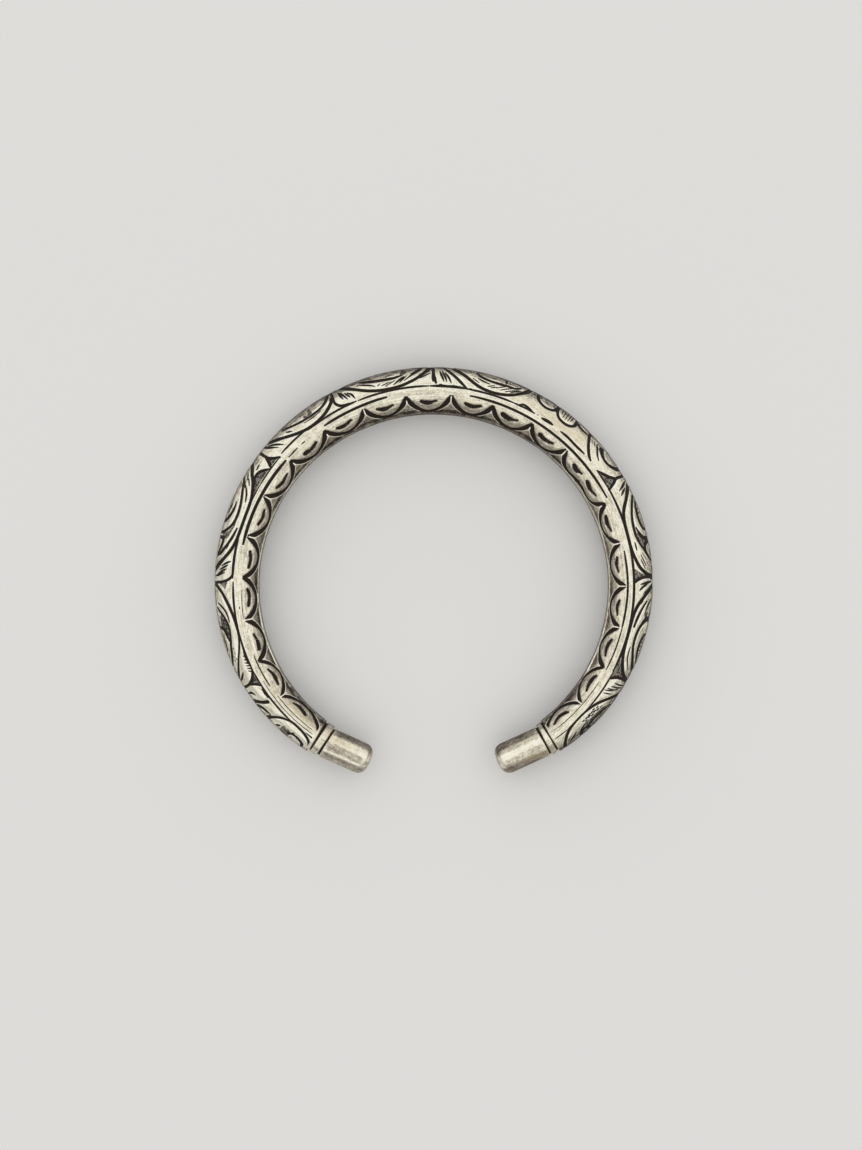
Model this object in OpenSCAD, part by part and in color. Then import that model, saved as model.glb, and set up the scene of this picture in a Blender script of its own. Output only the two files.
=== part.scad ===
// An open silver cuff bangle: one thick round bar bent to a C, chased all over,
// that ends in a collar ring and a plain round terminal on each side.
// The wrist circle's centre is over the origin and the bar lies on the plane z = 0.
// The back of the bangle is at +Y and its opening is towards -Y.

/* [Wrist] */
// Diameter of the round hollow that the wrist sits in
wrist_d = 60; // [50:1:70]
// How far each end of the bar closes in on that circle
pinch = 0.25; // [0:0.05:0.5]

/* [Bar] */
// Thickness of the bar round the back and the sides
bar_d = 8.3; // [6:0.1:10]
// Thickness of the bar where its chasing ends
bar_end_d = 6.4; // [5.5:0.1:8]
// Depth of the flat worn along the wrist side
wrist_flat = 0.2; // [0:0.05:0.4]
// Angle from the middle of the back at which the taper starts
taper_from = 75; // [40:5:110]

/* [Terminals] */
// Angle from the middle of the back to the chasing's end
bar_end = 141.8; // [141.7:0.1:143]
// Angle at which the bar's ends start to turn towards the terminals' line
turn_from = 136; // [120:1:138]
// Diameter of the collar rings
collar_d = 5.9; // [5.5:0.1:7]
// Diameter of the round terminals
terminal_d = 5.43; // [4.8:0.01:6]
// Length of each terminal past its collar
terminal_len = 8.3; // [5:0.1:10]
// Angle between a terminal and the line across the opening
terminal_pitch = 24.5; // [15:0.5:35]
// Rounding at the tip of each terminal
tip_round = 1.7; // [0.5:0.1:2.4]
// Height of the slightly domed face inside that rounding
tip_dome = 0.1; // [0.05:0.05:0.3]

/* [Chasing] */
// Depth of the cuts
cut = 0.3; // [0.1:0.05:0.4]
// Half width of a cut, as an angle round the bar
cut_half = 4; // [2:0.5:5]
// Depth of the sunk ground between two petals
sunk = 0.38; // [0.1:0.02:0.5]

/* [Hidden] */

wrist_r = wrist_d / 2;
mid_z = bar_d / 2;

// Places round the bar are angles from the wrist side, 0, over the top, 90,
// to the outer edge, 180. The underside repeats the top.
rim = 24;
petal_low = 31;
petal_tip = 72;
petal_top = 78;
rail_groove = 84;
rail_line = 98;
leaf_low = 108;
leaf_high = 166;
outer = 180;

// Tips between the petals, as angles round the wrist
TIPS = [-141.3, -125.6, -113, -100, -87.2, -74.8, -61.8, -48.6, -35, -21.6, -8.3, 5.3,
        18.2, 31.2, 44.2, 54.6, 64.3, 76.8, 89.8, 102.4, 115.4, 128.4, 141.6];

// Leaf arches on the outer half: [first angle, last angle, lowest place round the bar]
ARCHES = [
    [-142.7, -128.1, 108],
    [-127.6, -118.6, 134],
    [-115.7,  -89.2, 108],
    [ -85.5,  -55.5, 108],
    [ -49.5,  -28.3, 108],
    [ -25.4,   -0.8, 108],
    [   5.0,   26.4, 108],
    [  28.9,   34.8, 128],
    [  35.0,   41.1, 120],
    [  50.3,   57.9, 129],
    [  62.3,   87.3, 108],
    [  89.4,  116.2, 108],
    [ 120.3,  140.8, 108]];

// Rings of points along one petal, as shares of its width
PETAL_STEPS = [0, 0.07, 0.25, 0.5, 0.75, 0.93];

// Steps on half a section, from the wrist side to the outer edge
HALF = 18;

function share(x, from, to) = max(0, min(1, (x - from) / (to - from)));
function past(t) = max(0, abs(t) - taper_from) / (bar_end - taper_from);
function radius(t) = (bar_d - (bar_d - bar_end_d) * pow(past(t), 2)) / 2;
function inner(t) = wrist_r - pinch * pow(past(t), 2);
function centre(t) = inner(t) + radius(t) - wrist_flat;
function facing(t) = abs(t) + (180 - terminal_pitch - neck_to) * share(abs(t), turn_from, neck_to);

// Height of the petal's edge round the bar at angle t round the wrist
function petal_at(t) = [for (i = [0 : len(TIPS) - 2]) if (t >= TIPS[i] && t <= TIPS[i + 1]) i][0];
function petal_edge(t) =
    let (i = petal_at(t),
         u = 2 * share(t, TIPS[i], TIPS[i + 1]) - 1)
    petal_tip - (petal_tip - petal_low) * sqrt(max(0, 1 - u * u));

// Height of the leaf arch round the bar at angle t, or its highest place between arches
function arch(t, row) =
    let (u = 2 * share(t, row[0], row[1]) - 1)
    outer - (outer - row[2]) * sqrt(max(0, 1 - u * u));
function leaf_edge(t) = min(leaf_high, min([for (row = ARCHES) max(leaf_low, arch(t, row))]));

// One half section of the chased bar: [place round the bar, depth below the plain bar]
function chased(t) =
    let (p = petal_edge(t),
         f = leaf_edge(t),
         ridge = max(rim + 2, p - cut_half),
         open = share(ridge, rim + 2, rim + 20),
         leaf_cut = f < leaf_high ? cut : 0,
         leaf = f + cut_half,
         low = rail_line + cut_half)
    [[0, 0],
     [rim - 6, 0],
     [rim, 0],
     [rim + 0.35 * (ridge - rim), sunk * open],
     [ridge, cut / 6],
     [p, cut],
     [min(petal_top, p + 2.5 * cut_half), 0],
     [rail_groove, cut / 4],
     [90, 0],
     [rail_line - cut_half, 0],
     [rail_line, cut],
     [low, 0],
     [(low + f - cut_half) / 2, 0],
     [f - cut_half, 0],
     [f, leaf_cut],
     [leaf, 0],
     [(2 * leaf + outer) / 3, 0],
     [(leaf + 2 * outer) / 3, 0],
     [outer, 0]];
function plain() = [for (i = [0 : HALF]) [i * outer / HALF, 0]];

// A ring round the bar's axis: [centre point, turn of its plane, radius, flat, half section]
function bar_ring(t) =
    [centre(t) * [sin(t), cos(t)], sign(t) * facing(t), radius(t), wrist_flat, chased(t)];
function neck_ring(t, d, side) =
    [centre(bar_end) * [side * sin(t), cos(t)], side * facing(t), d / 2, 0, plain()];
function terminal_ring(along, d, side) =
    [centre(bar_end) * [side * sin(neck_to), cos(neck_to)]
        - along * [side * cos(terminal_pitch), sin(terminal_pitch)],
     side * (180 - terminal_pitch), d / 2, 0, plain()];

// Neck through groove, collar and groove: [angle past the bar's end, diameter]
NECK = [[0.15, bar_end_d - 0.1], [0.35, collar_d - 0.5], [0.6, collar_d - 0.5],
        [0.8, collar_d - 0.1], [1.05, collar_d], [2.2, collar_d], [2.45, collar_d - 0.1],
        [2.65, terminal_d - 0.4], [3, terminal_d - 0.4], [3.2, terminal_d - 0.08],
        [3.4, terminal_d]];
neck_to = bar_end + NECK[len(NECK) - 1][0];

// Steps round the rounding at a terminal's tip
TIP_STEPS = [0, 25, 50, 75];

// Rings of one end, from the bar out to the tip
function end_rings(side) = concat(
    [for (row = NECK) neck_ring(bar_end + row[0], row[1], side)],
    [for (a = TIP_STEPS)
        terminal_ring(terminal_len - tip_round * (1 - sin(a)),
                      terminal_d - 2 * tip_round * (1 - cos(a)), side)]);
function tip_point(ring, side) =
    [ring[0].x - side * tip_dome * cos(terminal_pitch),
     ring[0].y - tip_dome * sin(terminal_pitch),
     mid_z];
function back_to_front(list) = [for (i = [len(list) - 1 : -1 : 0]) list[i]];
function bar_angles() = concat(
    [for (i = [0 : len(TIPS) - 2], u = PETAL_STEPS) TIPS[i] + u * (TIPS[i + 1] - TIPS[i])],
    [TIPS[len(TIPS) - 1]]);

// The points of one ring, over the top from the wrist side, then back underneath
function place(ring, row, up) =
    let (a = ring[2] - row[1],
         across = max(-a * cos(row[0]), ring[3] - ring[2]))
    [ring[0].x + across * sin(ring[1]),
     ring[0].y + across * cos(ring[1]),
     mid_z + up * a * sin(row[0])];
function ring_points(ring) = concat(
    [for (i = [0 : HALF]) place(ring, ring[4][i], 1)],
    [for (i = [HALF - 1 : -1 : 1]) place(ring, ring[4][i], -1)]);

module kada() {
    rings = concat(back_to_front(end_rings(-1)),
                   [for (t = bar_angles()) bar_ring(t)],
                   end_rings(1));
    sides = 2 * HALF;
    last = len(rings) - 1;
    points = concat([for (ring = rings) each ring_points(ring)],
                    [tip_point(rings[0], -1), tip_point(rings[last], 1)]);
    walls = [for (i = [0 : last - 1], j = [0 : sides - 1])
        let (a = i * sides + j, b = i * sides + (j + 1) % sides)
        each [[a, a + sides, b], [b, a + sides, b + sides]]];
    cap_l = [for (j = [0 : sides - 1]) [len(points) - 2, j, (j + 1) % sides]];
    cap_r = [for (j = [0 : sides - 1])
        [len(points) - 1, last * sides + (j + 1) % sides, last * sides + j]];
    color("silver") polyhedron(points, concat(walls, cap_l, cap_r), convexity = 10);
}

kada();
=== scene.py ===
import math
import bpy
import numpy as np
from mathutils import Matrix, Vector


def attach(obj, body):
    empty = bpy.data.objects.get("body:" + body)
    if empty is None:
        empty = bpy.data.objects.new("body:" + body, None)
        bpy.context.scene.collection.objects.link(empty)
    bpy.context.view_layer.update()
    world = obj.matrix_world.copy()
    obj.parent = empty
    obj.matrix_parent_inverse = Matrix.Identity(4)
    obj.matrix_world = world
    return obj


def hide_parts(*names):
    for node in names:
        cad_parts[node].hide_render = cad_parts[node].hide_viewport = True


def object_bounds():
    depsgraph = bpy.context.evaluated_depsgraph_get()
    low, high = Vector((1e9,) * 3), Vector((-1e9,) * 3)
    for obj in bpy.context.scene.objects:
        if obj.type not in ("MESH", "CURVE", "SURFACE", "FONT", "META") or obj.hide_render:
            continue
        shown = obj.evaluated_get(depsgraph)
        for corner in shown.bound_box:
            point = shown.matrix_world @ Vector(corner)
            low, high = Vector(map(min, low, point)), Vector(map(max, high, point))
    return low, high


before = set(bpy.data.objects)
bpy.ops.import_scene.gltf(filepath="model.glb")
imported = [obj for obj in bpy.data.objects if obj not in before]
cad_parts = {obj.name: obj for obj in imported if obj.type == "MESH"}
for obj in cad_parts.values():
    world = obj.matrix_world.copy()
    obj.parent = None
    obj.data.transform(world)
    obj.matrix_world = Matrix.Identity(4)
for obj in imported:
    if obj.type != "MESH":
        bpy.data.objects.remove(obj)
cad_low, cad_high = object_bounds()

# The bar. One length of silver rod is forged to a taper at both ends, bent to a C and worn
# a little flat on the wrist side. Nothing is set or hinged on it, so the bangle is one mesh:
# a straight tube is divided into rings, and each ring is drawn to its own size and place.
MM = 0.001
BAR_R = (cad_high[2] - cad_low[2]) / 2
MID_Z = (cad_high[2] + cad_low[2]) / 2
WRIST_R = 30 * MM
PINCH = 0.25 * MM
BAR_END_R = 3.2 * MM
FLAT = 0.2 * MM
# The wrist has worn it flattest on the left and right: degrees from the back, millimetres deep
WORN = [(0, 0.11), (20, 0.15), (30, 0.26), (42, 0.4), (60, 0.48), (85, 0.52), (100, 0.46), (112, 0.43),
        (122, 0.36), (141.8, 0.22), (141.81, 0)]
TAPER_FROM = 75
BAR_END = 141.8
TURN_FROM = 136
BAR_RINGS = 761

# Places round the bar are angles from the wrist side, 0, over the top, 90, to the outer
# edge, 180. The underside repeats the top, with its points further apart.
FLAT_PLACES = [0, 6, 12]
FLAT_EDGE = 18
OUTER = 180
OVER_POINTS = 69
UNDER_POINTS = 43
over = np.hstack([FLAT_PLACES, np.linspace(FLAT_EDGE, OUTER, OVER_POINTS)])
under = np.hstack([FLAT_PLACES[1:], np.linspace(FLAT_EDGE, OUTER, UNDER_POINTS)[:-1]])
section = np.hstack([over, 360 - under[::-1]])


def past_taper(t):
    """How far along its taper the bar is at t degrees from the back, 0 to 1."""
    return np.maximum(0, t - TAPER_FROM) / (BAR_END - TAPER_FROM)


def bar_radius(t):
    return BAR_R - (BAR_R - BAR_END_R) * past_taper(t) ** 2


def bar_centre(t):
    return WRIST_R - PINCH * past_taper(t) ** 2 + bar_radius(t) - FLAT


# The necks and terminals. Past the chasing each end is turned down to a groove, a plain
# collar ring and a second groove, and then runs on as a straight polished round rod whose
# tip is filed round. They are the same silver, so they are more rings of the same mesh.
NECK_TO = 145.2
PITCH = 24.5
TERMINAL_R = 2.715 * MM
TERMINAL_LENGTH = 8.3 * MM
TIP_ROUND = 1.7 * MM
TIP_DOME = 0.1 * MM
# Degrees past the chasing's end, and the radius there in millimetres
NECK = [(0, 3.2), (0.1, 3.17), (0.28, 2.72), (0.6, 2.7), (0.76, 2.86), (0.92, 2.94), (1.2, 2.95),
        (2.05, 2.95), (2.3, 2.93), (2.46, 2.84), (2.66, 2.5), (2.98, 2.5), (3.14, 2.66), (3.4, 2.715)]
NECK_RINGS = 25
ROD_RINGS = 6
TIP_RINGS = 7


def read_off(table, x):
    """The values at x in a table with rows (x, value)."""
    return np.interp(x, *np.transpose(table))


neck_t = np.linspace(BAR_END, NECK_TO, NECK_RINGS + 1)[1:]
neck_r = read_off(NECK, neck_t - BAR_END) * MM
rod_along = np.linspace(0, TERMINAL_LENGTH - TIP_ROUND, ROD_RINGS + 1)[1:]
tip_turn = np.radians(np.linspace(0, 90, TIP_RINGS + 1)[1:])
tip_along = TERMINAL_LENGTH - TIP_ROUND + TIP_ROUND * np.sin(tip_turn)
tip_r = TERMINAL_R - TIP_ROUND * (1 - np.cos(tip_turn))
face_share = np.array([0.6, 0.2])
end_along = np.hstack([rod_along, tip_along, TERMINAL_LENGTH + TIP_DOME * (1 - face_share ** 2)])
end_r = np.hstack([np.full(len(rod_along), TERMINAL_R), tip_r, face_share * tip_r[-1]])

# One row for each ring of the right half, from the back to the tip, and the way that it faces
half_t = np.linspace(0, BAR_END, (BAR_RINGS + 1) // 2)
plain_t = np.hstack([neck_t, np.full(len(end_along), NECK_TO)])
ring_t = np.hstack([half_t, plain_t])
ring_r = np.hstack([bar_radius(half_t), neck_r, end_r])
ring_flat = read_off(WORN, ring_t) * MM
ring_out = np.hstack([bar_centre(half_t), np.full(len(plain_t), bar_centre(BAR_END))])
ring_along = np.hstack([np.zeros(len(half_t) + len(neck_t)), end_along])
ring_x = ring_out * np.sin(np.radians(ring_t)) - ring_along * math.cos(math.radians(PITCH))
ring_y = ring_out * np.cos(np.radians(ring_t)) - ring_along * math.sin(math.radians(PITCH))
turned = np.clip((ring_t - TURN_FROM) / (NECK_TO - TURN_FROM), 0, 1)
ring_facing = np.radians(ring_t + (180 - PITCH - NECK_TO) * turned)
last_ring = len(ring_t) - 1

# The straight rod, with all its rings
STEP = 0.2 * MM
bpy.ops.object.select_all(action="DESELECT")
bpy.ops.mesh.primitive_cylinder_add(vertices=len(section), radius=BAR_R, depth=2 * last_ring * STEP,
                                    end_fill_type="NOTHING", rotation=(0, math.pi / 2, 0))
bpy.ops.object.transform_apply(rotation=True)
kada = bpy.context.active_object
kada.name = kada.data.name = "kada_silver"


def select_none(kind):
    bpy.ops.object.mode_set(mode="EDIT")
    bpy.ops.mesh.select_mode(type=kind)
    bpy.ops.mesh.select_all(action="DESELECT")
    bpy.ops.object.mode_set(mode="OBJECT")


select_none("EDGE")
for edge in kada.data.edges:
    first, second = (kada.data.vertices[index].co.x for index in edge.vertices)
    edge.select = abs(first - second) > STEP
bpy.ops.object.mode_set(mode="EDIT")
bpy.ops.mesh.subdivide_edgering(number_cuts=2 * last_ring - 1, interpolation="LINEAR")
bpy.ops.object.mode_set(mode="OBJECT")


def points_of(mesh):
    co = np.empty(len(mesh.vertices) * 3)
    mesh.vertices.foreach_get("co", co)
    return co.reshape(-1, 3)


# Each ring is drawn to its size, bent round the wrist and faced along the bar
straight = points_of(kada.data)
ring = np.rint(straight[:, 0] / STEP).astype(int)
point = np.degrees(np.arctan2(straight[:, 2], -straight[:, 1])) % 360
place = section[np.rint(point * len(section) / 360).astype(int) % len(section)]
side = np.sign(ring)
row = np.abs(ring)
turn = np.radians(place)
across = np.maximum(-ring_r[row] * np.cos(turn), ring_flat[row] - ring_r[row])
co = np.stack([side * (ring_x[row] + across * np.sin(ring_facing[row])),
               ring_y[row] + across * np.cos(ring_facing[row]),
               MID_Z + ring_r[row] * np.sin(turn)], 1)
co[side == 0, 0] = 0
# Filed by hand, the groove beside each terminal is a little askew. How far it is moved and how
# much it slopes: right end, back, left end
MOVED = np.array([-0.1, 0, 0.38]) * MM
ASKEW = np.array([0.05, 0, 0.13])
COLLAR_TO = 2.3
FADE_TO = 4 * MM
past_end = np.interp(ring_t - BAR_END, [0, COLLAR_TO], [0, 1]) * np.interp(ring_along, [0, FADE_TO], [1, 0])
moved = past_end[row] * (MOVED[1 - side] - ASKEW[1 - side] * across)
co[:, 0] -= side * moved * math.cos(math.radians(PITCH))
co[:, 1] -= moved * math.sin(math.radians(PITCH))
kada.data.vertices.foreach_set("co", co.ravel())
kada.data.update()

# The open ends of the tube are closed to a point in the middle of each tip
for end in (-1, 1):
    select_none("VERT")
    for index in np.flatnonzero(ring == end * last_ring):
        kada.data.vertices[index].select = True
    bpy.ops.object.mode_set(mode="EDIT")
    bpy.ops.mesh.extrude_region_move()
    bpy.ops.mesh.merge(type="CENTER")
bpy.ops.mesh.select_all(action="SELECT")
bpy.ops.mesh.normals_make_consistent(inside=False)
bpy.ops.object.mode_set(mode="OBJECT")
bpy.ops.object.shade_smooth()

# Where each point of the bar lies: its angle round the wrist, its place round the bar from 0
# to 180, and the millimetres that one degree of each is worth there
co = points_of(kada.data)
tip_points = len(co) - len(ring)
ring = np.hstack([ring, last_ring * np.sign(co[len(ring):, 0]).astype(int)])
place = np.hstack([place, np.zeros(tip_points)])
side = np.sign(ring)
row = np.abs(ring)
theta = np.degrees(np.arctan2(co[:, 0], co[:, 1]))
phi = np.where(place > OUTER, 360 - place, place)
on_bar = row < len(half_t)
on_rod = row >= len(half_t) + len(neck_t)
lower_side = place > OUTER
theta_mm = np.radians(np.hypot(co[:, 0], co[:, 1])) / MM
phi_mm = np.radians(ring_r[row]) / MM


def smooth(x, low, high):
    """0 below low, 1 above high, and an even curve between them."""
    share = np.clip((x - low) / (high - low), 0, 1)
    return share * share * (3 - 2 * share)


# Towards both ends the whole pattern is set a little further out
SET_OUT = 3.3
phi -= SET_OUT * smooth(np.abs(theta), 82, 118) * np.interp(phi, [0, 20, 160, 180], [0, 1, 1, 0])


# The petals. A row of half-round cuts is struck along the wrist side of the top with a
# curved chisel, one beside another, and a short crescent is struck inside each. The corner
# that is left between two cuts, down to the rim, is beaten down to a darker ground.

# Tips between the petals: angle round the wrist, place round the bar, and the place up to which
# a thin bright edge stands between the two cuts, which close over it where that is lower
TIPS = [
    (-141.3, 68, 80), (-125.7, 68, 80), (-113, 72, 66), (-100, 72, 80), (-87.2, 72, 62), (-74.8, 76, 80),
    (-61.8, 75, 80), (-48.6, 72, 68), (-35, 71, 66), (-21.6, 72, 80), (-8.3, 75, 70), (5.3, 75, 80),
    (18.2, 71, 60), (31.2, 71, 66), (44.2, 71, 80), (54.6, 37, 80), (64.3, 71, 66), (76.8, 72, 80),
    (89.8, 74, 80), (102.4, 69, 80), (115.4, 67, 60), (128.4, 70, 80), (141.8, 60, 80)]
# The lowest place of each petal
LOWS = [28, 29, 31, 34.5, 34, 33.5, 31.5, 33, 32, 30, 28, 28, 27, 28, 32, 33, 36, 35, 34, 30, 26, 26]
# Crescents, left to right: three half widths in millimetres, and five points along each
CRESCENTS = [
    (0.29, 0.26, 0.13, (-134.9, 54), (-133.8, 50.5), (-132, 48.3), (-130.6, 51), (-129.6, 55.5)),
    (0.2, 0.33, 0.18, (-122.1, 56.5), (-121, 54.7), (-119.5, 52.6), (-118, 54.2), (-116.3, 60.5)),
    (0.3, 0.3, 0.18, (-109.6, 60), (-109, 57.5), (-107.8, 56), (-106.4, 56.8), (-104.5, 62)),
    (0.26, 0.22, 0.26, (-95.8, 61.5), (-94.9, 59), (-93.4, 56.7), (-92, 57), (-90.6, 62)),
    (0.23, 0.22, 0.26, (-84.1, 61.3), (-83.2, 59.5), (-81.8, 58), (-80.5, 59.5), (-79, 63.5)),
    (0.26, 0.23, 0.2, (-70.4, 61.3), (-69.7, 59.3), (-68.4, 56.7), (-67, 57.5), (-65.5, 60.8)),
    (0.23, 0.29, 0.17, (-57.8, 60), (-56.9, 57), (-55.4, 53.8), (-54, 55.2), (-52.2, 58)),
    (0.36, 0.25, 0.26, (-44.1, 58.5), (-43.3, 57.3), (-42, 55.8), (-40.6, 57), (-39, 61.7)),
    (0.26, 0.33, 0.23, (-31.3, 59.7), (-30.6, 57.5), (-29.3, 55.6), (-27.9, 57), (-26.2, 61.5)),
    (0.22, 0.39, 0.2, (-17.7, 61.7), (-16.9, 59), (-15.5, 56.3), (-14.2, 57.5), (-12.5, 61.7)),
    (0.31, 0.42, 0.2, (-3.8, 60.8), (-3, 57.8), (-1.9, 56), (-0.7, 57.6), (0.9, 61.7)),
    (0.26, 0.34, 0.26, (9.8, 61.5), (10.4, 59), (11.7, 56.6), (13, 57.5), (14.8, 63.7)),
    (0.44, 0.42, 0.17, (21.7, 61.3), (22.6, 58), (23.9, 55.8), (25.2, 57.5), (27, 62.2)),
    (0.36, 0.33, 0.23, (34.9, 60.3), (35.5, 58.3), (36.8, 56.3), (38.2, 57.5), (39.8, 62)),
    (0.4, 0.42, 0.17, (49.1, 60.3), (49.9, 57.5), (50.7, 56.5), (51.6, 59.5), (52.7, 61.7)),
    (0.34, 0.35, 0.17, (55.5, 61.3), (56.3, 59), (57.5, 56.4), (58.8, 57), (60.7, 61.3)),
    (0.29, 0.33, 0.16, (67.7, 61), (68.5, 58.8), (69.7, 56.8), (71, 57.9), (72.6, 61.3)),
    (0.18, 0.23, 0.13, (80.8, 60), (81.7, 57.9), (83, 55.4), (84.3, 56.8), (85.3, 59)),
    (0.22, 0.25, 0.14, (94.2, 61.5), (94.9, 59.2), (96.2, 56.6), (97.5, 57.8), (98.8, 60.3)),
    (0.2, 0.3, 0.17, (106.5, 60.8), (107.4, 57), (109, 53.5), (110.4, 55), (112, 58.7)),
    (0.21, 0.33, 0.18, (118.7, 61), (119.5, 57.5), (121.1, 54.9), (122.8, 56.7), (124.4, 61.7)),
    (0.22, 0.27, 0.17, (133, 61), (133.8, 56.3), (135.6, 51.5), (137.1, 53.3), (138.8, 61.5))]

# What every point keeps of its nearest cut: millimetres to the cut's edge, the signed distance
# to its middle line, and the cut's half width and depth. Each stroke goes into the one of four
# layers where it has the fewest neighbours, so that lines stay clean side by side
NO_CUT = 9.0
LAYERS = 4
near = np.full((LAYERS, len(co)), NO_CUT)
off = near.copy()
half = np.full((LAYERS, len(co)), 0.1)
depth = np.zeros_like(near)
# How far a stroke reaches, and how close another one is its neighbour, in millimetres
REACH = 1.3
BESIDE = 0.5
# The fewest millimetres that one degree round the wrist and one round the bar are worth
LEAST_THETA_MM = 0.5
LEAST_PHI_MM = 0.056


def curve(points, steps=5):
    """A smooth curve through the points of a chart, with so many steps from each to the next."""
    points = np.asarray(points, float)
    ends = np.vstack([2 * points[0] - points[1], points, 2 * points[-1] - points[-2]])
    share = np.arange(steps)[:, None] / steps
    spans = []
    for before, start, stop, after in zip(ends, ends[1:], ends[2:], ends[3:]):
        spans.append(0.5 * (2 * start + (stop - before) * share
                            + (2 * before - 5 * start + 4 * stop - after) * share ** 2
                            + (3 * start - before - 3 * stop + after) * share ** 3))
    return np.vstack(spans + [points[-1]])


def close_to(path):
    """The points of the bar that a stroke along the path can reach."""
    reach = REACH / np.array([LEAST_THETA_MM, LEAST_PHI_MM])
    low, high = path.min(0) - reach, path.max(0) + reach
    return np.flatnonzero(on_bar & (theta > low[0]) & (theta < high[0])
                          & (phi > low[1]) & (phi < high[1]))


def measure(path, who):
    """The gap in millimetres from each straight piece of a path to each point, the share of the
    piece passed there, and the signed distance to its line."""
    scale = np.stack([theta_mm[who], phi_mm[who]], 1)
    start = path[:-1, None] * scale
    run = path[1:, None] * scale - start
    to = np.stack([theta[who], phi[who]], 1) * scale - start
    length = np.maximum(np.hypot(run[..., 0], run[..., 1]), 1e-6)
    share = np.clip((to * run).sum(2) / length ** 2, 0, 1)
    gap = np.hypot(*np.moveaxis(to - share[..., None] * run, 2, 0))
    return gap, share, (run[..., 0] * to[..., 1] - run[..., 1] * to[..., 0]) / length


def chase(path, widths, how_deep):
    """One stroke of the chisel along a path of angles and places, with its half widths in
    millimetres spread evenly along it. It widens down the outer flank."""
    path = np.asarray(path, float)
    widths = np.interp(np.linspace(0, 1, len(path)), np.linspace(0, 1, len(widths)), widths)
    widths *= 1 + 0.45 * smooth(path[:, 1], 122, 150)
    who = close_to(path)
    if not len(who):
        return
    gap, share, signed = measure(path, who)
    width = widths[:-1, None] + share * (widths[1:] - widths[:-1])[:, None]
    best = (gap - width).argmin(0), np.arange(len(who))
    edge = (gap - width)[best]
    crowd = [np.sum((near[layer, who] < BESIDE) & (edge < BESIDE)) for layer in range(LAYERS)]
    layer = int(np.argmin(crowd))
    closer = edge < near[layer, who]
    who, best = who[closer], (best[0][closer], best[1][closer])
    near[layer, who] = edge[closer]
    off[layer, who] = signed[best]
    half[layer, who] = width[best]
    depth[layer, who] = how_deep


MAIN_CUT = 0.3
# The chisel bites deepest on its left corner
PETAL_WIDTHS = np.array([0.13, 0.36, 0.43, 0.43, 0.37, 0.32, 0.32, 0.35, 0.43, 0.39, 0.14])
# It bites less low on the petals of the right side, and all along the last two at each end
LIGHTER = np.array([0, 0, 0.3, 0.8, 1, 1, 1, 0.8, 0.3, 0, 0])
# How far short of a tip each petal's cut stops, in degrees, where the tip is open and closed
OPEN_GAP = 0.34
CLOSED_GAP = 0.27


def stops_short(tip):
    return OPEN_GAP if tip[2] > tip[1] else CLOSED_GAP


# Seen from above, a petal's edge is midway between half an ellipse and a flatter arc
swing = np.linspace(0, math.pi, 31)
arc = (np.sqrt(1.132 - np.cos(swing) ** 2) - 0.364) / 0.7
rise = (np.sin(swing) + arc) / 2
for left, right, low in zip(TIPS, TIPS[1:], LOWS):
    start, stop = left[0] + stops_short(left), right[0] - stops_short(right)
    middle, reach = (start + stop) / 2, (stop - start) / 2
    tip = np.cos(np.radians(left[1] + (right[1] - left[1]) * (1 - np.cos(swing)) / 2))
    edge = np.degrees(np.arccos(tip + (math.cos(math.radians(low)) - tip) * rise))
    lighter = 0.25 if abs(middle) > 116 else 0.3 * LIGHTER if middle > 50 else 0
    chase(np.stack([middle - reach * np.cos(swing), edge], 1), PETAL_WIDTHS * (1 - lighter), MAIN_CUT)
# The signed distance to the middle of the nearest petal's cut, more than 0 on the petal's side
petal = near.argmin(0), np.arange(len(co))
over_tips = phi > read_off([tip[:2] for tip in TIPS], theta)
petal_side = np.where(over_tips, 1, np.sign(off[petal])) * np.minimum(near[petal] + half[petal], 2)
petal_half = half[petal]
# The signed distance to the middle of the bright edge below the nearest tip, and where it is
tips = np.array(TIPS)
tip_theta, tip_phi, edge_to = tips[np.abs(theta[:, None] - tips[:, 0]).argmin(1)].T
tip_line = np.clip((theta - tip_theta) * theta_mm, -1, 1)
tip_open = on_bar * (tip_phi > 50) * smooth(phi, tip_phi - 27, tip_phi - 20)
tip_open *= smooth(phi, edge_to + 2, edge_to - 5)
# The crescents' ends are blunt, and the chisel leaves them a little wider than charted
WIDER = 0.045
for left, middle, right, *points in CRESCENTS:
    widths = left * 0.7, left, (left + middle) / 2, middle, (middle + right) / 2, right, right * 0.75
    chase(curve(points)[1:-1], np.array(widths) + WIDER, MAIN_CUT)

# Below the petals' edges, down to the rim, the corners are sunk and left rough. The rim is
# highest on the left and right, where the wrist side is worn most
RIM_AT_BACK = 20.5
RIM_RISE = 6.5
rim_mm = (phi - RIM_AT_BACK - RIM_RISE * np.sin(np.radians(theta)) ** 2) * phi_mm
below = on_bar & (petal_side < 0) & (phi < 80)
corner = below * smooth(-petal_side - petal_half, 0.08, 0.34) * smooth(rim_mm, -0.03, 0.16)

# The rail. Between petals and leaves runs a plain polished rib, the bangle's highest line.
# It is edged by two thin lines drawn by hand along the bar, which wander and break off.

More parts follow.
